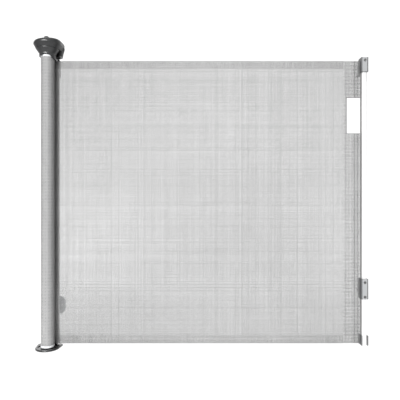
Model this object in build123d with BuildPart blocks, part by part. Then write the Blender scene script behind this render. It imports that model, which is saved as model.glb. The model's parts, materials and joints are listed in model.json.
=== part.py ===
"""Retractable mesh pet gate: roller post, mesh panel, end bar and wall hardware.

Millimetres. X runs along the opening from the roller axis, Y towards the wall, Z up.
The origin is the middle of the foot's underside, on the roller axis.
"""

import os

from build123d import *

# --- driving dimensions ---------------------------------------------------
wall_y = 62.0  # plane of the wall behind the gate
floor_gap = 8.5  # lowest edge of the mesh
mesh_top = 868.0
mesh_y = 20.9  # middle of the mesh sheet
mesh_t = 0.8
hem_h = 25.0
hem_t = 1.6
roll_r = 20.0  # mesh wound on the tube
roll_top = 870.5
tube_r = 13.0
tube_wall = 1.5
rail_half = 27.0  # half the width of the back rail
rail_front = 24.0
rail_back = 33.0
rail_wall = 2.0
foot_r = 35.5
foot_corner = (30.0, 23.0)  # centres of the foot's two rear corners
foot_h = 5.0
neck_z = 877.0  # underside of the head's cone
neck_r = 20.5
seam_z = 896.0  # top of the head, where the cap starts
seam_r = 33.0
cap_r = 40.5
lobe_r = 26.0  # the cap's back lobe, which is its lever
lobe_at = (15.0, 28.0)
cap_shoulder_z = 909.0
dome_r = 300.0  # the cap's gently domed top, highest over the lobe
dome_at = (25.0, 20.0, 626.0)
crown_fillet = 9.0
lobe_z = 882.0  # underside of the cap's back lobe
skirt_r = 24.0  # the head's skirt round the roll's end
skirt_z = 866.0
button_x = 1.0
button_y = -12.0
bar_x0 = 947.0  # end bar's left side
bar_x1 = 962.0
bar_y0 = 11.0
bar_y1 = 30.0
bar_z0 = 6.0
bar_z1 = 873.0
bar_wall = 1.8
hem_x0 = 894.0  # left edge of the end hem
hem_x1 = 951.0
slot_x0 = 904.0  # hand slot
slot_x1 = 945.5
slot_z0 = 648.0
slot_z1 = 756.0
clip_wall = 2.8
upper_clip_z = (832.5, 876.5)
lower_clip_z = (145.0, 206.5)
bottom_clip_z = (5.5, 34.5)
catch_x = 970.5  # middle of the wall catches' plates
catch_z = (845.0, 176.0)  # middle heights of the upper and lower wall catches
screw_r = 2.0
head_r = 3.8
gap = 0.3  # running clearance

mesh_y0 = mesh_y - mesh_t / 2
hem_y0 = mesh_y - hem_t / 2
bar_x = (bar_x0 + bar_x1) / 2
bar_y = (bar_y0 + bar_y1) / 2

os.makedirs("parts", exist_ok=True)


def save(piece, name):
    piece.label = name
    export_step(piece, f"parts/{name}.step")


def hull_outline(front_r, rear_r, *rear):
    """Round at the front, drawn back over one or two smaller round corners."""
    Circle(front_r)
    with Locations(*rear):
        Circle(rear_r)
    make_hull()


def slab(x0, x1, y0, y1, z0, z1, mode=Mode.ADD):
    with Locations(((x0 + x1) / 2, (y0 + y1) / 2, (z0 + z1) / 2)):
        Box(x1 - x0, y1 - y0, z1 - z0, mode=mode)


def post(x, y, r, z0, z1, mode=Mode.ADD):
    with Locations((x, y, (z0 + z1) / 2)):
        Cylinder(r, z1 - z0, mode=mode)


def disc_along_y(x, z, r, y, depth, mode=Mode.ADD):
    """Disc facing the room at y, reaching depth towards the wall."""
    with BuildSketch(Plane.XZ.offset(-y)) as face:
        with Locations((x, z)):
            Circle(r)
    extrude(face.sketch, amount=-depth, mode=mode)


def wall_screw(x, z, seat_y, length):
    """Round-head screw driven towards the wall, with a cross recess."""
    disc_along_y(x, z, head_r, seat_y - 2.2, 2.2)
    disc_along_y(x, z, screw_r, seat_y, length)
    slab(x - 2.3, x + 2.3, seat_y - 2.3, seat_y - 1.0, z - 0.45, z + 0.45, Mode.SUBTRACT)
    slab(x - 0.45, x + 0.45, seat_y - 2.3, seat_y - 1.0, z - 2.3, z + 2.3, Mode.SUBTRACT)


def wall_hole(x, z, r, y0, y1):
    disc_along_y(x, z, r, y0, y1 - y0, Mode.SUBTRACT)


# --- foot -----------------------------------------------------------------
bush_r = 7.0
axle_r = 4.0
with BuildPart() as foot:
    with BuildSketch():
        hull_outline(foot_r, 8, foot_corner, (-foot_corner[0], foot_corner[1]))
    extrude(amount=foot_h)
    fillet(foot.edges().group_by(Axis.Z)[-1], 2.2)
    fillet(foot.edges().group_by(Axis.Z)[0], 1.2)
    post(0, 0, 29, 3.0, foot_h, Mode.SUBTRACT)
    post(0, 0, 11, 3.0, foot_h)
    slab(-29, 29, 22, 30, 3.0, foot_h)
    post(0, 0, bush_r, 1.2, foot_h, Mode.SUBTRACT)
save(foot.part, "foot")

with BuildPart() as lower_bush:
    post(0, 0, bush_r - 0.1, 1.4, 5.2)
    post(0, 0, axle_r + 0.2, 2.6, 5.4, Mode.SUBTRACT)
save(lower_bush.part, "lower_bush")

# --- back rail, an open channel behind the roll ----------------------------
rail_z0 = foot_h + 0.1
rail_z1 = 868.0
with BuildPart() as back_rail:
    slab(-rail_half, rail_half, rail_front, rail_back, rail_z0, rail_z1)
    rear = back_rail.edges().filter_by(Axis.Z).group_by(Axis.Y)[-1]
    fillet(rear, 5)
    slab(
        rail_wall - rail_half, rail_half - rail_wall,
        rail_front - 1, rail_back - rail_wall,
        rail_z0 - 1, rail_z1 + 1, Mode.SUBTRACT,
    )
    for z in (116, 850):
        wall_hole(0, z, screw_r + 0.3, rail_back - 4, rail_back + 1)
save(back_rail.part, "back_rail")

with BuildPart() as rail_lips:
    for side in (-1, 1):
        x = side * (rail_half - rail_wall - 1.4)
        slab(x - 1.2, x + 1.2, rail_front - 0.8, rail_front + 3, rail_z0, rail_z1)
save(rail_lips.part, "rail_wiper_strips")

# --- lower wall bracket -----------------------------------------------------
with BuildPart() as lower_bracket:
    with BuildSketch(Plane.XZ.offset(-wall_y)):
        with Locations((0, 116.5)):
            RectangleRounded(70, 55, 18)
    extrude(amount=4)
    slab(-16, 16, rail_back + 0.1, wall_y - 3.9, 98, 135)
    wall_hole(0, 116, screw_r - 0.2, rail_back - 1, wall_y - 6)
    for x in (-25, 25):
        wall_hole(x, 116.5, screw_r + 0.3, wall_y - 5, wall_y + 1)
save(lower_bracket.part, "lower_bracket")

# --- upper wall bracket with the two prongs under the head -------------------
with BuildPart() as upper_bracket:
    with BuildSketch(Plane.XZ.offset(-wall_y)):
        with Locations((0, 855)):
            RectangleRounded(38, 62, 8)
    extrude(amount=4)
    slab(-14, 14, rail_back + 0.1, wall_y - 3.9, 842, 858)
    for side in (-1, 1):
        slab(side * 9.5 - 5, side * 9.5 + 5, rail_back + 0.1, wall_y - 3.9, 872, lobe_z - 0.6)
    wall_hole(0, 850, screw_r - 0.2, rail_back - 1, wall_y - 6)
    for z in (833, 865):
        wall_hole(0, z, screw_r + 0.3, wall_y - 5, wall_y + 1)
save(upper_bracket.part, "upper_bracket")

with BuildPart() as rail_screws:
    for z in (116, 850):
        disc_along_y(0, z, head_r, rail_back - rail_wall - 1.8, 1.8)
        disc_along_y(0, z, screw_r - 0.25, rail_back - rail_wall, 14)
save(rail_screws.part, "rail_screws")

# --- head: cone under the cap, holding the ratchet ---------------------------
def cone_marks(mode):
    """Two round inlays on the front of the cone, for locked and unlocked."""
    for turn in (-17, 11):
        facing = Rot(0, 0, turn) * Pos(0, -30.6, 891.5) * Rot(123, 0, 0)
        with BuildSketch(Plane(facing)) as ring:
            Circle(2.4)
            Circle(1.3, mode=Mode.SUBTRACT)
        extrude(ring.sketch, amount=-1.5, mode=mode)


pocket_r = 25.5
pocket_z = 886.5
with BuildPart() as head:
    with BuildSketch(Plane.XZ) as profile:
        with BuildLine():
            Polyline(
                (0, neck_z), (neck_r, neck_z), (neck_r + 0.8, neck_z + 1.5),
                (seam_r, seam_z - 1.5), (seam_r, seam_z), (0, seam_z), close=True,
            )
        make_face()
    revolve(axis=Axis.Z)
    post(0, 0, skirt_r, skirt_z, neck_z + 5)
    post(0, 0, roll_r + 0.6, skirt_z - 1, neck_z, Mode.SUBTRACT)
    with BuildSketch(Plane.XZ.offset(30)) as window:
        with BuildLine():
            Polyline(
                (-30, skirt_z - 2), (-30, 873.5), (-8, 873.5), (-8, neck_z + 0.4),
                (9, neck_z + 0.4), (16.5, 870), (19.5, skirt_z - 2), close=True,
            )
        make_face()
    extrude(window.sketch, amount=-42, mode=Mode.SUBTRACT)
    slab(-30, 30, 12, 30, skirt_z - 2, mesh_top + 1.5, Mode.SUBTRACT)
    slab(-14, 14, neck_r, rail_back, neck_z - 5, lobe_z - 0.6)
    fillet(head.edges().filter_by(Axis.Z).group_by(Axis.Y)[-1], 3)
    cone_marks(Mode.SUBTRACT)
    post(0, 0, pocket_r, pocket_z, seam_z + 1, Mode.SUBTRACT)
    post(0, 0, bush_r, neck_z - 6, pocket_z + 1, Mode.SUBTRACT)
save(head.part, "head_housing")

with BuildPart() as upper_bush:
    post(0, 0, bush_r - 0.1, neck_z + 0.2, pocket_z - 0.2)
    post(0, 0, axle_r + 0.2, neck_z - 1, pocket_z + 1, Mode.SUBTRACT)
save(upper_bush.part, "upper_bush")

plate_z = 893.0
with BuildPart() as head_plate:
    post(0, 0, pocket_r - 0.1, plate_z, plate_z + 2)
    post(0, 0, 9.6, plate_z - 1, plate_z + 3, Mode.SUBTRACT)
    with PolarLocations(21.5, 3, start_angle=90):
        with Locations((0, 0, plate_z + 1)):
            Cylinder(1.4, 4, mode=Mode.SUBTRACT)
save(head_plate.part, "head_plate")

with BuildPart() as head_plate_screws:
    with PolarLocations(21.5, 3, start_angle=90):
        with Locations((0, 0, plate_z + 2.6)):
            Cylinder(2.3, 1.2)
        with Locations((0, 0, plate_z + 1)):
            Cylinder(1.2, 2.2)
save(head_plate_screws.part, "head_plate_screws")

with BuildPart() as lock_marks:
    cone_marks(Mode.ADD)
save(lock_marks.part, "lock_marks")

# --- roller -------------------------------------------------------------------
with BuildPart() as core_tube:
    post(0, 0, tube_r, 12.3, roll_top)
    post(0, 0, tube_r - tube_wall, 12.0, roll_top + 1, Mode.SUBTRACT)
save(core_tube.part, "core_tube")

with BuildPart() as wound_mesh:
    post(0, 0, roll_r, 12.3, roll_top)
    post(0, 0, tube_r + 0.05, 12.0, roll_top + 1, Mode.SUBTRACT)
save(wound_mesh.part, "wound_mesh")

with BuildPart() as lower_ring:
    post(0, 0, roll_r, 5.8, 12.2)
    post(0, 0, tube_r - tube_wall - 0.1, 12.2, 24)
    fillet(lower_ring.edges().group_by(Axis.Z)[0], 1.2)
    post(0, 0, axle_r - 0.05, 5.0, 25, Mode.SUBTRACT)
save(lower_ring.part, "lower_end_ring")

with BuildPart() as upper_ring:
    post(0, 0, roll_r, roll_top + 0.1, neck_z - 0.6)
    post(0, 0, tube_r - tube_wall - 0.1, 855, roll_top + 0.1)
    fillet(upper_ring.edges().group_by(Axis.Z)[-1], 1.6)
    post(0, 0, axle_r - 0.05, 854, neck_z, Mode.SUBTRACT)
save(upper_ring.part, "upper_end_ring")

rod_r = 2.6
with BuildPart() as spring_rod:
    post(0, 0, axle_r - 0.3, 2.8, 26)
    post(0, 0, rod_r, 26, 432)
save(spring_rod.part, "spring_rod")

with BuildPart() as spring_plug:
    post(0, 0, tube_r - tube_wall - 0.1, 420, 430)
    post(0, 0, rod_r + gap, 419, 431, Mode.SUBTRACT)
save(spring_plug.part, "spring_plug")

spring_r = 7.5
with BuildPart() as return_spring:
    with BuildLine():
        Helix(pitch=12, height=388, radius=spring_r, center=(0, 0, 29))
    with BuildSketch(Plane(origin=(spring_r, 0, 29), z_dir=(0, 1, 0.25))):
        Circle(0.9)
    sweep(is_frenet=True)
save(return_spring.part, "return_spring")

ratchet_z = 888.0
tooth_n = 12
with BuildPart() as upper_axle:
    post(0, 0, axle_r - 0.1, 857, 891.5)
save(upper_axle.part, "upper_axle")

with BuildPart() as ratchet_wheel:
    with BuildSketch(Plane.XY.offset(ratchet_z)):
        Circle(12)
        with PolarLocations(11.4, tooth_n):
            with BuildLine():
                Polyline((0, -2.6), (2.8, -2.4), (0, 3.0), (-2, 0), close=True)
            make_face()
        Circle(axle_r - 0.05, mode=Mode.SUBTRACT)
    extrude(amount=3.4)
save(ratchet_wheel.part, "ratchet_wheel")

# --- pawl and its pin -----------------------------------------------------------
pawl_x = 19.5
with BuildPart() as pawl_pin:
    post(pawl_x, 0, 1.5, pocket_z, plate_z - 0.1)
save(pawl_pin.part, "pawl_pin")

with BuildPart() as pawl:
    with BuildSketch(Plane.XY.offset(ratchet_z + 0.2)):
        with Locations((pawl_x, 0)):
            Circle(2.8)
        with BuildLine():
            Polyline(
                (pawl_x + 2.6, 1.0), (20.8, 7.0), (16.0, 12.4), (11.0, 12.6),
                (8.7, 9.2), (11.6, 10.0), (14.6, 6.2), (pawl_x - 2.6, 1.0), close=True,
            )
        make_face()
        with Locations((pawl_x, 0)):
            Circle(1.8, mode=Mode.SUBTRACT)
    extrude(amount=3)
save(pawl.part, "pawl")

# --- cap: the turning knob -------------------------------------------------------
def cap_shape(extra=0.0):
    """Outside of the cap: round in front, with a lobe drawn back and down behind."""
    with BuildSketch(Plane.XY.offset(seam_z + 0.6)) as seam:
        hull_outline(seam_r + 1 + extra, lobe_r - 2 + extra, lobe_at)
    with BuildSketch(Plane.XY.offset(cap_shoulder_z)) as shoulder:
        hull_outline(cap_r + extra, lobe_r + extra, lobe_at)
    loft([seam.sketch, shoulder.sketch])
    extrude(shoulder.sketch, amount=40)
    with Locations(dome_at):
        Sphere(dome_r, mode=Mode.INTERSECT)


def grip_ribs(mode):
    """Ribs round the lobe's outer side, where the hand turns the cap."""
    for k in range(8):
        turn = -28 + 13 * k
        with Locations(Pos(*lobe_at, 904) * Rot(0, 0, turn) * Pos(lobe_r, 0, 0)):
            Box(2.6, 2.2, 10, mode=mode)


with BuildPart() as cap:
    cap_shape()
    crown = cap.faces().sort_by(Axis.Z)[-1]
    fillet(crown.edges(), crown_fillet)
    with BuildSketch(Plane.XY.offset(lobe_z)):
        with Locations(lobe_at):
            Circle(lobe_r - 5)
        Circle(seam_r + 1.6, mode=Mode.SUBTRACT)
    with BuildSketch(Plane.XY.offset(cap_shoulder_z)):
        with Locations(lobe_at):
            Circle(lobe_r)
        Circle(seam_r + 1.6, mode=Mode.SUBTRACT)
    loft()
    post(0, 0, 30.5, seam_z - 1, 916, Mode.SUBTRACT)
    post(0, 0, 9.0, 897.5, 917)
    post(0, 0, 9.2, 891.7, 898)
    post(0, 0, 4.6, 890, 912, Mode.SUBTRACT)
    grip_ribs(Mode.SUBTRACT)
    post(button_x, button_y, 7.0, 909, 940, Mode.SUBTRACT)
    post(button_x, button_y, 3.2, 900, 940, Mode.SUBTRACT)
save(cap.part, "lock_cap")

with BuildPart() as cap_clip:
    post(0, 0, 11.6, 891.7, 892.7)
    post(0, 0, 9.25, 891, 893, Mode.SUBTRACT)
save(cap_clip.part, "cap_clip")

with BuildPart() as grips:
    cap_shape(0.5)
    with BuildPart(mode=Mode.INTERSECT):
        grip_ribs(Mode.ADD)
save(grips.part, "cap_grips")

with BuildPart() as button:
    post(button_x, button_y, 6.7, 917.0, 930.8)
    fillet(button.edges().group_by(Axis.Z)[-1], 2.2)
    post(button_x, button_y, 2.9, 901.6, 917.0)
save(button.part, "release_button")

with BuildPart() as button_spring:
    with BuildLine():
        Helix(pitch=1.8, height=5.4, radius=5.2, center=(button_x, button_y, 910.2))
    with BuildSketch(Plane(origin=(button_x + 5.2, button_y, 910.2), z_dir=(0, 1, 0.06))):
        Circle(0.45)
    sweep(is_frenet=True)
save(button_spring.part, "button_spring")

# --- mesh panel between the roll and the end hem -----------------------------------
panel_x0 = 0.5
panel_x1 = hem_x0 - 0.1
with BuildPart() as panel:
    slab(
        panel_x0, panel_x1, mesh_y0, mesh_y0 + mesh_t,
        floor_gap + hem_h + 0.05, mesh_top - hem_h - 0.05,
    )
save(panel.part, "mesh_panel")

with BuildPart() as top_hem:
    slab(panel_x0, panel_x1, hem_y0 + 0.3, hem_y0 + hem_t, mesh_top - hem_h, mesh_top)
save(top_hem.part, "top_hem")

with BuildPart() as bottom_hem:
    slab(panel_x0, panel_x1, hem_y0 + 0.3, hem_y0 + hem_t, floor_gap, floor_gap + hem_h)
save(bottom_hem.part, "bottom_hem")

# --- end hem with the hand slot -------------------------------------------------------
with BuildPart() as end_hem:
    slab(hem_x0, hem_x1, hem_y0, hem_y0 + hem_t, floor_gap, mesh_top)
    with BuildSketch(Plane.XZ.offset(-(hem_y0 - 1))):
        with Locations(((slot_x0 + slot_x1) / 2, (slot_z0 + slot_z1) / 2)):
            RectangleRounded(slot_x1 - slot_x0, slot_z1 - slot_z0, 5)
    extrude(amount=-(hem_t + 2), mode=Mode.SUBTRACT)
save(end_hem.part, "end_hem")

# --- end bar, an extrusion that holds the hem by a rod ----------------------------------
with BuildPart() as end_bar:
    with BuildSketch(Plane.XY.offset(bar_z0)):
        with Locations((bar_x, bar_y)):
            RectangleRounded(bar_x1 - bar_x0, bar_y1 - bar_y0, 3)
        with Locations((bar_x, bar_y)):
            inner = 2 * bar_wall
            Rectangle(bar_x1 - bar_x0 - inner, bar_y1 - bar_y0 - inner, mode=Mode.SUBTRACT)
        with Locations((bar_x0 + 1, mesh_y)):
            Rectangle(4, hem_t + 0.4, mode=Mode.SUBTRACT)
        for side in (-1, 1):
            with Locations((bar_x0 + 8.6, mesh_y + side * 5.6)):
                Rectangle(1.6, 6)
    extrude(amount=bar_z1 - bar_z0)
save(end_bar.part, "end_bar")

with BuildPart() as hem_rod:
    post(hem_x1 + 2.2, mesh_y, 2.1, floor_gap, mesh_top)
save(hem_rod.part, "hem_rod")

with BuildPart() as bar_cap:
    slab(bar_x0, bar_x1, bar_y0, bar_y1, bar_z1 + 0.05, bar_z1 + 1.8)
    fillet(bar_cap.edges().filter_by(Axis.Z), 3)
    slab(bar_x + 2, bar_x1 - 2.4, bar_y0 + 2.4, bar_y1 - 2.4, bar_z1 - 8, bar_z1 + 0.05)
save(bar_cap.part, "bar_top_cap")


def clip_body(z0, z1, open_front):
    """Sleeve round the bar with raised edges in front, slotted on the left for the mesh."""
    slab(
        bar_x0 - clip_wall - 0.1, bar_x1 + clip_wall + 0.1,
        bar_y0 - clip_wall - 1.6, bar_y1 + clip_wall + 0.1, z0, z1,
    )
    with Locations((bar_x, bar_y0 - clip_wall - 1.6, (z0 + z1) / 2)):
        Box(bar_x1 - bar_x0, 3.0, z1 - z0 + 2, mode=Mode.SUBTRACT)
    slab(bar_x0 - 0.1, bar_x1 + 0.1, bar_y0 - 0.1, bar_y1 + 0.1, z0 - 1, z1 + 1, Mode.SUBTRACT)
    cut0 = max(z0 - 1, floor_gap - 1)
    cut1 = min(z1 + 1, mesh_top + 1)
    slab(bar_x0 - 4, bar_x0 + 1, mesh_y - 1.4, mesh_y + 1.4, cut0, cut1, Mode.SUBTRACT)
    if open_front:
        slab(bar_x0 - 0.1, bar_x1 + 0.1, bar_y0 - 4, bar_y0, z0 - 1, z1 + 1, Mode.SUBTRACT)


socket_y0 = bar_y1 + clip_wall + 0.1
socket_y1 = socket_y0 + 9.0


def catch_socket(z):
    """Downward-opening pocket on the clip's back for the wall catch's lip."""
    slab(bar_x - 9, bar_x + 9, socket_y0 - 0.1, socket_y1, z - 8, z + 14)
    slab(bar_x - 7, bar_x + 7, socket_y0 + 2.0, socket_y1 - 2.0, z - 9, z + 12, Mode.SUBTRACT)
    slab(bar_x - 7, bar_x + 7, socket_y1 - 2.1, socket_y1 + 1, z - 9, z + 1.5, Mode.SUBTRACT)


for name, (z0, z1), z in (
    ("upper_clip", upper_clip_z, catch_z[0]),
    ("lower_clip", lower_clip_z, catch_z[1]),
):
    with BuildPart() as clip:
        clip_body(z0, z1, False)
        catch_socket(z)
    save(clip.part, name)

with BuildPart() as bottom_clip:
    clip_body(*bottom_clip_z, True)
save(bottom_clip.part, "bottom_clip")

plate_y1 = bar_y0 - clip_wall - 0.15
plate_y0 = plate_y1 - 1.1
with BuildPart() as clip_plates:
    for z0, z1 in (upper_clip_z, lower_clip_z):
        slab(bar_x0 + 0.2, bar_x1 - 0.2, plate_y0, plate_y1, z0 + 0.2, z1 - 0.2)
    fillet(clip_plates.edges().group_by(Axis.Y)[0], 0.5)
save(clip_plates.part, "clip_plates")

clip_screw_z = (upper_clip_z[1] - 9, lower_clip_z[0] + 7, lower_clip_z[1] - 10.5)
with BuildPart() as clip_screws:
    for z in clip_screw_z:
        wall_screw(bar_x, z, plate_y0 - 0.1, 0.1)
save(clip_screws.part, "clip_screws")

# --- wall catches, screwed to the wall behind and beside the bar ------------------------------------
lip_y0 = socket_y0 + 2.3
lip_y1 = socket_y1 - 2.3
for name, z in zip(("upper_catch", "lower_catch"), catch_z):
    with BuildPart() as catch:
        slab(catch_x - 9.5, catch_x + 9.5, wall_y - 3, wall_y, z - 32, z + 18)
        fillet(catch.edges().filter_by(Axis.Y), 5)
        slab(bar_x - 6, catch_x - 1, lip_y0, wall_y - 2.9, z - 14, z - 9)
        slab(bar_x - 6, bar_x + 6, lip_y0, lip_y1, z - 10, z + 10)
        for hole_z in (z - 24, z + 10):
            wall_hole(catch_x, hole_z, screw_r + 0.3, wall_y - 5, wall_y + 1)
    save(catch.part, name)
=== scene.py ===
import json
import math
import random

import bmesh
import bpy
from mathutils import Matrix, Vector


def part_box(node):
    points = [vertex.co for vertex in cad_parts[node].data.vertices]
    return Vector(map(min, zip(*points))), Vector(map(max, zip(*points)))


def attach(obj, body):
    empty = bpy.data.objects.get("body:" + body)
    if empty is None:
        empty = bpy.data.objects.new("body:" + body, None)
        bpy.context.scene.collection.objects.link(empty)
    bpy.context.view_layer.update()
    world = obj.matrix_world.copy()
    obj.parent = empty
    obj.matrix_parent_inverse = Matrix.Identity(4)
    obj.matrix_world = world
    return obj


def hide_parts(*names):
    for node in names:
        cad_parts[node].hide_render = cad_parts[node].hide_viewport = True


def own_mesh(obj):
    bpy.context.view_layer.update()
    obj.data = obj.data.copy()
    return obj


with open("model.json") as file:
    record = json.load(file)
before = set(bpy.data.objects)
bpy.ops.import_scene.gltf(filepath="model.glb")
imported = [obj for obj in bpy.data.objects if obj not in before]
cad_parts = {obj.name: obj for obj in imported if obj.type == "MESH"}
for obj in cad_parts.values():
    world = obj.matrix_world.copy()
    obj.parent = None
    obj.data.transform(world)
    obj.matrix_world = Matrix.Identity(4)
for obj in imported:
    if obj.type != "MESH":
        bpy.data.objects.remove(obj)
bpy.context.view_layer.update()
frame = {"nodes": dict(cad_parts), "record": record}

random.seed(7)


# --- node helpers ---------------------------------------------------------------
def new_material(name):
    mat = bpy.data.materials.new(name)
    mat.use_nodes = True
    nt = mat.node_tree
    nt.nodes.clear()
    out = nt.nodes.new("ShaderNodeOutputMaterial")
    bsdf = nt.nodes.new("ShaderNodeBsdfPrincipled")
    nt.links.new(bsdf.outputs[0], out.inputs[0])
    return mat, nt, bsdf


def noise(nt, scale, detail=3.0, rough=0.5, stretch=(1, 1, 1)):
    tc = nt.nodes.new("ShaderNodeTexCoord")
    mp = nt.nodes.new("ShaderNodeMapping")
    mp.inputs["Scale"].default_value = stretch
    n = nt.nodes.new("ShaderNodeTexNoise")
    n.inputs["Scale"].default_value = scale
    n.inputs["Detail"].default_value = detail
    n.inputs["Roughness"].default_value = rough
    nt.links.new(tc.outputs["Object"], mp.inputs[0])
    nt.links.new(mp.outputs[0], n.inputs["Vector"])
    return n.outputs["Fac"]


def ramp(nt, fac, stops):
    r = nt.nodes.new("ShaderNodeValToRGB")
    while len(r.color_ramp.elements) < len(stops):
        r.color_ramp.elements.new(0.5)
    for e, (pos, col) in zip(r.color_ramp.elements, stops):
        e.position = pos
        e.color = (*col, 1) if len(col) == 3 else col
    nt.links.new(fac, r.inputs[0])
    return r.outputs[0]


def grey(v, tint=0.0):
    return (v * (1 - tint), v, v * (1 + tint))


def bump(nt, bsdf, height, distance, strength=1.0):
    b = nt.nodes.new("ShaderNodeBump")
    b.inputs["Strength"].default_value = strength
    b.inputs["Distance"].default_value = distance
    nt.links.new(height, b.inputs["Height"])
    nt.links.new(b.outputs[0], bsdf.inputs["Normal"])


def moulded(name, low, high, rough, grain, coat=0.0, spec=0.5, tint=0.02):
    """Moulded plastic or rubber: mottled colour, uneven gloss and a fine grain."""
    mat, nt, bsdf = new_material(name)
    patches = noise(nt, 14, 4)
    nt.links.new(ramp(nt, patches, [(0.3, grey(low, tint)), (0.7, grey(high, tint))]),
                 bsdf.inputs["Base Color"])
    scuffs = noise(nt, 60, 6, 0.7)
    nt.links.new(ramp(nt, scuffs, [(0.35, grey(rough[0])), (0.75, grey(rough[1]))]),
                 bsdf.inputs["Roughness"])
    bsdf.inputs["Coat Weight"].default_value = coat
    bsdf.inputs["Coat Roughness"].default_value = 0.12
    bsdf.inputs["Specular IOR Level"].default_value = spec
    bump(nt, bsdf, noise(nt, 900, 3, 0.6), grain)
    return mat


def metal(name, low, high, rough, stretch, grain=0.00004):
    mat, nt, bsdf = new_material(name)
    bsdf.inputs["Metallic"].default_value = 1.0
    streaks = noise(nt, 120, 5, 0.6, stretch)
    nt.links.new(ramp(nt, streaks, [(0.3, grey(low)), (0.7, grey(high))]), bsdf.inputs["Base Color"])
    nt.links.new(ramp(nt, streaks, [(0.2, grey(rough[0])), (0.8, grey(rough[1]))]),
                 bsdf.inputs["Roughness"])
    bump(nt, bsdf, streaks, grain)
    return mat


def painted(name, low, high, rough):
    """Powder coat: near-even colour with faint vertical streaks and orange peel."""
    mat, nt, bsdf = new_material(name)
    streaks = noise(nt, 40, 4, 0.5, (1, 1, 0.04))
    nt.links.new(ramp(nt, streaks, [(0.3, grey(low)), (0.7, grey(high))]), bsdf.inputs["Base Color"])
    nt.links.new(ramp(nt, noise(nt, 90, 4), [(0.3, grey(rough[0])), (0.7, grey(rough[1]))]),
                 bsdf.inputs["Roughness"])
    bump(nt, bsdf, noise(nt, 700, 2), 0.00006)
    return mat


def cloth(name, low, high, pitch, sheen=0.25, depth=0.0002, slub=1.0):
    """Coated polyester yarn: slubs along both directions and a fine crossing weave."""
    mat, nt, bsdf = new_material(name)
    tc = nt.nodes.new("ShaderNodeTexCoord")
    sep = nt.nodes.new("ShaderNodeSeparateXYZ")
    nt.links.new(tc.outputs["Object"], sep.inputs[0])

    def wave(axis, scale):
        m = nt.nodes.new("ShaderNodeMath")
        m.operation = "MULTIPLY"
        m.inputs[1].default_value = scale
        nt.links.new(sep.outputs[axis], m.inputs[0])
        s = nt.nodes.new("ShaderNodeMath")
        s.operation = "SINE"
        nt.links.new(m.outputs[0], s.inputs[0])
        return s.outputs[0]

    k = 2 * math.pi / pitch
    mix = nt.nodes.new("ShaderNodeMath")
    mix.operation = "MAXIMUM"
    nt.links.new(wave("X", k), mix.inputs[0])
    nt.links.new(wave("Z", k), mix.inputs[1])
    weft = noise(nt, 130, 4, 0.6, (0.06, 1, slub))
    warp = noise(nt, 130, 4, 0.6, (slub, 1, 0.05))
    add = nt.nodes.new("ShaderNodeMath")
    add.operation = "ADD"
    nt.links.new(weft, add.inputs[0])
    nt.links.new(warp, add.inputs[1])
    half = nt.nodes.new("ShaderNodeMath")
    half.operation = "MULTIPLY"
    half.inputs[1].default_value = 0.5
    nt.links.new(add.outputs[0], half.inputs[0])
    nt.links.new(ramp(nt, half.outputs[0], [(0.36, grey(low)), (0.64, grey(high))]),
                 bsdf.inputs["Base Color"])
    nt.links.new(ramp(nt, weft, [(0.3, grey(0.5)), (0.7, grey(0.72))]), bsdf.inputs["Roughness"])
    bsdf.inputs["Sheen Weight"].default_value = sheen
    bsdf.inputs["Sheen Roughness"].default_value = 0.5
    bump(nt, bsdf, mix.outputs[0], depth, 0.6)
    return mat


# --- mesh helpers ----------------------------------------------------------------
def add_box(bm, x0, x1, y0, y1, z0, z1):
    v = [bm.verts.new((x, y, z)) for x in (x0, x1) for y in (y0, y1) for z in (z0, z1)]
    for a, b, c, d in ((0, 1, 3, 2), (4, 6, 7, 5), (0, 4, 5, 1), (2, 3, 7, 6), (0, 2, 6, 4), (1, 5, 7, 3)):
        bm.faces.new((v[a], v[b], v[c], v[d]))


def to_object(bm, name, mat):
    bmesh.ops.recalc_face_normals(bm, faces=bm.faces)
    me = bpy.data.meshes.new(name)
    bm.to_mesh(me)
    bm.free()
    ob = bpy.data.objects.new(name, me)
    bpy.context.scene.collection.objects.link(ob)
    me.materials.append(mat)
    return ob


def yarn_grid(bm, x0, x1, z0, z1, y, pitch, width, thick, rng, hole=None):
    """Open weave of flat yarns: uprights at the front, crossing yarns just behind."""
    def runs(lo, hi, gap):
        return [(lo, hi)] if gap is None else [(lo, gap[0]), (gap[1], hi)]

    for axis in (0, 1):
        lo, hi = ((x0, x1), (z0, z1))[axis]
        count = max(2, round((hi - lo) / pitch))
        step = (hi - lo) / count
        for i in range(count):
            w = width * rng.uniform(0.8, 1.2) / 2
            c = lo + (i + 0.5) * step + rng.uniform(-0.04, 0.04) * step
            if axis == 0:
                inside = hole and hole[0] < c < hole[1]
                for a, b in runs(z0, z1, (hole[2], hole[3]) if inside else None):
                    add_box(bm, c - w, c + w, y - thick, y + 0.1 * thick, a, b)
            else:
                inside = hole and hole[2] < c < hole[3]
                for a, b in runs(x0, x1, (hole[0], hole[1]) if inside else None):
                    if b - a > 0.0005:
                        add_box(bm, a, b, y - 0.1 * thick, y + thick, c - w, c + w)


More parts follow.
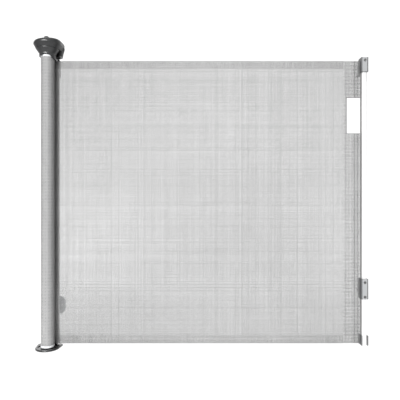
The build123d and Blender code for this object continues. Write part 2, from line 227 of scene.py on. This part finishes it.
def stitches(bm, p, q, y, length=0.0034, gap=0.0016, thick=0.0004):
    """A line of sewn thread from p to q, both (x, z), lying on the cloth at y."""
    d = Vector((q[0] - p[0], 0, q[1] - p[1]))
    total = d.length
    d.normalize()
    side = Vector((-d.z, 0, d.x)) * thick
    n = int(total / (length + gap))
    for i in range(n):
        a = Vector((p[0], y, p[1])) + d * (i * (length + gap) + gap / 2)
        b = a + d * length
        m = (a + b) / 2 - Vector((0, thick, 0))
        ring = [a, m - side, b, m + side]
        v = [bm.verts.new(r) for r in ring]
        top = bm.verts.new(m - Vector((0, thick * 0.6, 0)))
        low = bm.verts.new(m + Vector((0, thick, 0)))
        for k in range(4):
            bm.faces.new((v[k], v[(k + 1) % 4], top))
            bm.faces.new((v[(k + 1) % 4], v[k], low))


# --- materials ---------------------------------------------------------------------
dark = moulded("dark_gloss", 0.028, 0.05, (0.26, 0.38), 0.00002, coat=0.08, spec=0.3)
foot_gloss = moulded("foot_gloss", 0.012, 0.024, (0.18, 0.3), 0.00002, coat=0.5, spec=0.45)
rubber = moulded("grip_rubber_mat", 0.012, 0.02, (0.55, 0.7), 0.00005)
mark = moulded("mark_white", 0.2, 0.28, (0.4, 0.55), 0.00002)
acetal = moulded("acetal", 0.66, 0.74, (0.4, 0.5), 0.00003)
ratchet = moulded("ratchet_black", 0.04, 0.06, (0.4, 0.55), 0.00003)
clip_grey = moulded("clip_grey", 0.1, 0.135, (0.42, 0.55), 0.00004)
plate_grey = moulded("plate_grey", 0.25, 0.29, (0.4, 0.55), 0.00003)
# painted light: the lower bracket's near-white colour lifts the shade the roll and mesh cast on it; its own
# plastic is grey
bracket_painted_light = moulded("bracket_painted_light", 0.8, 0.88, (0.42, 0.55), 0.00004)
white = moulded("white_moulded", 0.62, 0.68, (0.3, 0.42), 0.00003)
# painted light: the rail's near-white colour is partly its own light coat and partly lifted to make up for
# the shade the roll and mesh cast into the channel
rail = painted("rail_coat_with_painted_light", 0.8, 0.88, (0.4, 0.5))
bar_paint = painted("bar_powder_coat", 0.5, 0.54, (0.3, 0.42))
dark_steel = metal("dark_zinc", 0.1, 0.16, (0.35, 0.5), (1, 1, 1))
steel = metal("zinc_steel", 0.5, 0.62, (0.25, 0.38), (1, 1, 0.2))
yarn = cloth("mesh_yarn", 0.09, 0.17, 0.0006, sheen=0.12)
# painted light: the pile strips are coloured near-white to lift the shade of the roll in the rail channel
pile = cloth("pile_with_painted_light", 0.75, 0.85, 0.0012, sheen=0.1)
hem_yarn = cloth("hem_yarn", 0.105, 0.185, 0.0006, sheen=0.12)
thread = cloth("sewing_thread", 0.3, 0.38, 0.0004, sheen=0.1)

by_slot = {
    "dark_plastic": dark, "grip_rubber": rubber, "mark_plastic": mark, "bush_plastic": acetal,
    "ratchet_plastic": ratchet, "grey_plastic": clip_grey,
    "plate_plastic": plate_grey, "pile_strip": pile, "white_plastic": white,
    "rail_aluminium": rail, "bar_white": bar_paint, "mesh_fabric": yarn, "hem_fabric": hem_yarn,
    "steel": steel,
}
for part in frame["record"]["subparts"]:
    node = frame["nodes"][part["node"]]
    node.data.materials.clear()
    node.data.materials.append(by_slot[part["material_slot"]])
# painted light: the lower bracket is near-white in place of its grey plastic, to lift the shade cast on it
frame["nodes"]["lower_bracket"].data.materials[0] = bracket_painted_light
frame["nodes"]["foot"].data.materials[0] = foot_gloss
frame["nodes"]["clip_screws"].data.materials[0] = dark_steel

# --- mesh panel and hems --------------------------------------------------------------
PITCH = 0.0018
WIDTH = 0.33 * PITCH
THICK = 0.0003

(px0, py0, pz0), (px1, py1, pz1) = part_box("mesh_panel")
mesh_y = (py0 + py1) / 2
rng = random.Random(3)
soft = []


def retracts(piece):
    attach(piece, "post")
    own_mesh(piece)


bm = bmesh.new()
yarn_grid(bm, px0, px1, pz0, pz1, mesh_y, PITCH, WIDTH, THICK, rng)
panel = to_object(bm, "mesh_panel_cloth", yarn)
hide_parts("mesh_panel")
retracts(panel)

for node, seam in (("top_hem", 0), ("bottom_hem", 1)):
    (hx0, hy0, hz0), (hx1, hy1, hz1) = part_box(node)
    bm = bmesh.new()
    yarn_grid(bm, hx0, hx1, hz0, hz1, hy0 + 0.0003, PITCH, WIDTH, THICK, rng)
    yarn_grid(bm, hx0, hx1, hz0, hz1, hy1 - 0.0003, PITCH, WIDTH, THICK, rng)
    hem = to_object(bm, node + "_cloth", hem_yarn)
    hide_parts(node)
    retracts(hem)
    edge, inner = (hz1, hz0) if seam == 0 else (hz0, hz1)
    toward = 1 if seam == 0 else -1
    bm = bmesh.new()
    stitches(bm, (hx0 + 0.002, inner + toward * 0.002), (hx1 - 0.001, inner + toward * 0.002), hy0 - 0.0001)
    line = to_object(bm, node + "_stitching", thread)
    retracts(line)
    bm = bmesh.new()
    add_box(bm, hx0, hx1, hy0 + 0.0001, hy1 - 0.0001, edge - toward * 0.0007, edge)
    fold = to_object(bm, node + "_fold", hem_yarn)
    retracts(fold)

# --- end hem with the hand slot -----------------------------------------------------------
(ex0, ey0, ez0), (ex1, ey1, ez1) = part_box("end_hem")
SLOT = (0.904, 0.9455, 0.648, 0.756)
FOLD_X = 0.924
bm = bmesh.new()
yarn_grid(bm, ex0, ex1, ez0, ez1, ey0 + 0.0003, PITCH, WIDTH * 0.7, THICK, rng, SLOT)
yarn_grid(bm, ex0, ex1, ez0, ez1, ey1 - 0.0003, PITCH * 1.2, WIDTH * 0.65, THICK, rng, SLOT)
inner_slot = (FOLD_X, SLOT[1], SLOT[2], SLOT[3])
yarn_grid(bm, FOLD_X, ex1, ez0, ez1, (ey0 + ey1) / 2, PITCH, WIDTH * 0.7, THICK * 0.7, rng, inner_slot)
end_hem = to_object(bm, "end_hem_cloth", hem_yarn)
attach(end_hem, "end_bar")
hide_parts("end_hem")

bm = bmesh.new()
front = ey0 - 0.0001
for x in (ex0 + 0.003, FOLD_X - 0.002, FOLD_X + 0.003):
    runs = ((ez0 + 0.002, ez1 - 0.002),)
    if x > SLOT[0] - 0.004:
        runs = ((ez0 + 0.002, SLOT[2] - 0.006), (SLOT[3] + 0.006, ez1 - 0.002))
    for z0, z1 in runs:
        stitches(bm, (x, z0), (x, z1), front)
for z in (0.832, 0.814, 0.782, SLOT[3] + 0.004, SLOT[2] - 0.004):
    stitches(bm, (ex0 + 0.004, z), (0.9445, z), front)
sewn = to_object(bm, "end_hem_stitching", thread)
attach(sewn, "end_bar")

# binding round the hand slot
bm = bmesh.new()
sx0, sx1, sz0, sz1 = SLOT
b = 0.0016
for a0, a1, c0, c1 in ((sx0 - b, sx1, sz1, sz1 + b), (sx0 - b, sx1, sz0 - b, sz0), (sx0 - b, sx0, sz0, sz1)):
    add_box(bm, a0, a1, ey0 - 0.0002, ey1 + 0.0002, c0, c1)
binding = to_object(bm, "slot_binding", hem_yarn)
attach(binding, "end_bar")

# --- mesh wound on the tube, a real spiral ---------------------------------------------------
(wx0, wy0, wz0), (wx1, wy1, wz1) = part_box("wound_mesh")
R_OUT = wx1
R_IN = 0.0134
TURNS = 8
SEG = 48
bm = bmesh.new()
cloth_t = 0.00028
n = TURNS * SEG
prev = None
first = None
start = math.pi / 2
for i in range(n + 1):
    a = start - 2 * math.pi * i / SEG
    r = R_OUT - cloth_t - (R_OUT - R_IN) * (i / n)
    c, s = math.cos(a), math.sin(a)
    quad = [bm.verts.new(((r + dr) * c, (r + dr) * s, z)) for dr, z in
            ((-cloth_t, wz0), (cloth_t, wz0), (cloth_t, wz1), (-cloth_t, wz1))]
    if prev:
        for k in range(4):
            bm.faces.new((prev[k], prev[(k + 1) % 4], quad[(k + 1) % 4], quad[k]))
    else:
        first = quad
    prev = quad
bm.faces.new(first)
bm.faces.new(prev[::-1])
roll = to_object(bm, "wound_cloth", None)


def wound_weave():
    """The same weave seen on the roll, laid out round the roller's axis."""
    mat, nt, bsdf = new_material("wound_mesh_weave")
    tc = nt.nodes.new("ShaderNodeTexCoord")
    sep = nt.nodes.new("ShaderNodeSeparateXYZ")
    nt.links.new(tc.outputs["Object"], sep.inputs[0])
    turn = nt.nodes.new("ShaderNodeMath")
    turn.operation = "ARCTAN2"
    nt.links.new(sep.outputs["Y"], turn.inputs[0])
    nt.links.new(sep.outputs["X"], turn.inputs[1])

    def strands(source, scale, offset=0.0):
        m = nt.nodes.new("ShaderNodeMath")
        m.operation = "MULTIPLY_ADD"
        m.inputs[1].default_value = scale
        m.inputs[2].default_value = offset
        nt.links.new(source, m.inputs[0])
        s = nt.nodes.new("ShaderNodeMath")
        s.operation = "SINE"
        nt.links.new(m.outputs[0], s.inputs[0])
        return s.outputs[0]

    both = nt.nodes.new("ShaderNodeMath")
    both.operation = "MAXIMUM"
    nt.links.new(strands(turn.outputs[0], 70), both.inputs[0])
    nt.links.new(strands(sep.outputs["Z"], 2 * math.pi / PITCH), both.inputs[1])
    coarse = nt.nodes.new("ShaderNodeMath")
    coarse.operation = "MAXIMUM"
    nt.links.new(strands(turn.outputs[0], 13), coarse.inputs[0])
    nt.links.new(strands(sep.outputs["Z"], 2 * math.pi / 0.0098), coarse.inputs[1])
    mix = nt.nodes.new("ShaderNodeMath")
    mix.operation = "MULTIPLY_ADD"
    mix.inputs[1].default_value = 0.35
    nt.links.new(coarse.outputs[0], mix.inputs[0])
    nt.links.new(both.outputs[0], mix.inputs[2])
    patches = noise(nt, 60, 3, 0.5, (1, 1, 0.5))
    total = nt.nodes.new("ShaderNodeMath")
    total.operation = "ADD"
    nt.links.new(mix.outputs[0], total.inputs[0])
    nt.links.new(patches, total.inputs[1])
    nt.links.new(ramp(nt, total.outputs[0], [(0.0, grey(0.07)), (0.55, grey(0.19)), (1.0, grey(0.3))]),
                 bsdf.inputs["Base Color"])
    nt.links.new(ramp(nt, patches, [(0.3, grey(0.45)), (0.7, grey(0.6))]), bsdf.inputs["Roughness"])
    bsdf.inputs["Sheen Weight"].default_value = 0.05
    bump(nt, bsdf, both.outputs[0], 0.0002, 0.6)
    return mat


roll.data.materials.clear()
roll.data.materials.append(wound_weave())
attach(roll, "roller")
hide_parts("wound_mesh")

# --- spring under the release button; the real one shortens as the button is pressed, this coil keeps one length and rides with the cap ---
(bx0, by0, bz0), (bx1, by1, bz1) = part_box("button_spring")
WIRE = 0.00044
COIL_R = (bx1 - bx0) / 2 - 1.2 * WIRE
COIL_STEPS = 72
TURN_STEPS = 24
WIRE_SIDES = 8
bm = bmesh.new()
prev = None
for i in range(COIL_STEPS + 1):
    a = 2 * math.pi * i / TURN_STEPS
    rise = (bz1 - bz0 - 2 * WIRE) * i / COIL_STEPS
    out = Vector((math.cos(a), math.sin(a), 0))
    mid = Vector(((bx0 + bx1) / 2, (by0 + by1) / 2, bz0 + WIRE + rise)) + out * COIL_R
    ring = []
    for k in range(WIRE_SIDES):
        t = 2 * math.pi * k / WIRE_SIDES
        ring.append(bm.verts.new(mid + out * (WIRE * math.cos(t)) + Vector((0, 0, WIRE * math.sin(t)))))
    if prev:
        for k in range(WIRE_SIDES):
            n = (k + 1) % WIRE_SIDES
            bm.faces.new((prev[k], prev[n], ring[n], ring[k]))
    else:
        bm.faces.new(ring)
    prev = ring
bm.faces.new(prev[::-1])
coil = to_object(bm, "button_coil", steel)
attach(coil, "cap")
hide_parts("button_spring")
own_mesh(coil)

# --- studio -----------------------------------------------------------------------------------
def sweep_floor():
    """Pale floor that curves up into a pale backdrop; the grey surface is made pale by painted light, a glow
    of its own.
    """
    bm = bmesh.new()
    prof = [(-2.2, 0.0), (0.7, 0.0)]
    for k in range(1, 13):
        a = k / 12 * math.pi / 2
        prof.append((0.7 + 0.5 * math.sin(a), 0.5 - 0.5 * math.cos(a)))
    prof.append((1.2, 3.2))
    rows = [[bm.verts.new((x, y, z - 0.0006)) for y, z in prof] for x in (-3.0, 4.0)]
    for k in range(len(prof) - 1):
        bm.faces.new((rows[0][k], rows[1][k], rows[1][k + 1], rows[0][k + 1]))
    me = bpy.data.meshes.new("studio_floor")
    bm.to_mesh(me)
    bm.free()
    ob = bpy.data.objects.new("studio_floor", me)
    bpy.context.scene.collection.objects.link(ob)
    for p in me.polygons:
        p.use_smooth = True
    mat, nt, bsdf = new_material("glowing_pale_floor")
    nt.links.new(ramp(nt, noise(nt, 3, 2), [(0.3, grey(0.3)), (0.7, grey(0.33))]),
                 bsdf.inputs["Base Color"])
    bsdf.inputs["Roughness"].default_value = 0.9
    bsdf.inputs["Specular IOR Level"].default_value = 0.1
    bsdf.inputs["Emission Color"].default_value = (1, 1, 1, 1)
    tc = nt.nodes.new("ShaderNodeTexCoord")
    sep = nt.nodes.new("ShaderNodeSeparateXYZ")
    nt.links.new(tc.outputs["Object"], sep.inputs[0])

    def ease(axis, lo, hi, a, b):
        m = nt.nodes.new("ShaderNodeMapRange")
        for socket, v in zip(("From Min", "From Max", "To Min", "To Max"), (lo, hi, a, b)):
            m.inputs[socket].default_value = v
        nt.links.new(sep.outputs[axis], m.inputs["Value"])
        return m.outputs[0]

    def times(a, b):
        m = nt.nodes.new("ShaderNodeMath")
        m.operation = "MULTIPLY"
        nt.links.new(a, m.inputs[0])
        nt.links.new(b, m.inputs[1])
        return m.outputs[0]

    # painted light: the floor and backdrop glow, brightest low on the floor and dimming up the backdrop,
    # towards the camera and out at the far left and right
    glow = times(ease("Z", 0.02, 0.5, 0.84, 0.6), ease("Y", -0.8, -0.45, 0.3, 1.0))
    glow = times(glow, times(ease("X", -1.2, -0.8, 0.3, 1.0), ease("X", 1.7, 2.1, 1.0, 0.3)))
    nt.links.new(glow, bsdf.inputs["Emission Strength"])
    me.materials.append(mat)
    return ob


sweep_floor()


def area_light(name, pos, target, size, power):
    light = bpy.data.lights.new(name, "AREA")
    light.shape = "RECTANGLE"
    light.size, light.size_y = size
    light.energy = power
    ob = bpy.data.objects.new(name, light)
    ob.location = pos
    ob.rotation_euler = (Vector(target) - Vector(pos)).to_track_quat("-Z", "Y").to_euler()
    bpy.context.scene.collection.objects.link(ob)
    return ob


area_light("front_fill", (0.6, -2.6, 1.0), (0.45, 0, 0.45), (2.0, 1.6), 8)
area_light("top_soft", (0.4, -0.3, 2.4), (0.45, 0, 0.4), (1.6, 1.0), 6)
key_light = bpy.data.lights.new("key_sun", "SUN")
key_light.energy = 5.0
key_light.angle = math.radians(36)
key = bpy.data.objects.new("key_sun", key_light)
key.rotation_euler = Vector((0.18, 0.94, -0.30)).to_track_quat("-Z", "Y").to_euler()
bpy.context.scene.collection.objects.link(key)

world = bpy.data.worlds.new("studio")
bpy.context.scene.world = world
world.use_nodes = True
bg = world.node_tree.nodes["Background"]
bg.inputs[0].default_value = (1, 1, 1, 1)
bg.inputs[1].default_value = 0.1

cam_data = bpy.data.cameras.new("camera")
cam = bpy.data.objects.new("camera", cam_data)
bpy.context.scene.collection.objects.link(cam)
cam.location = (0.457, -1.3, 0.445)
cam.rotation_euler = (math.pi / 2, 0, 0)
cam_data.sensor_width = 36
cam_data.lens = 39.0
bpy.context.scene.camera = cam
bpy.context.scene.view_settings.view_transform = "Standard"
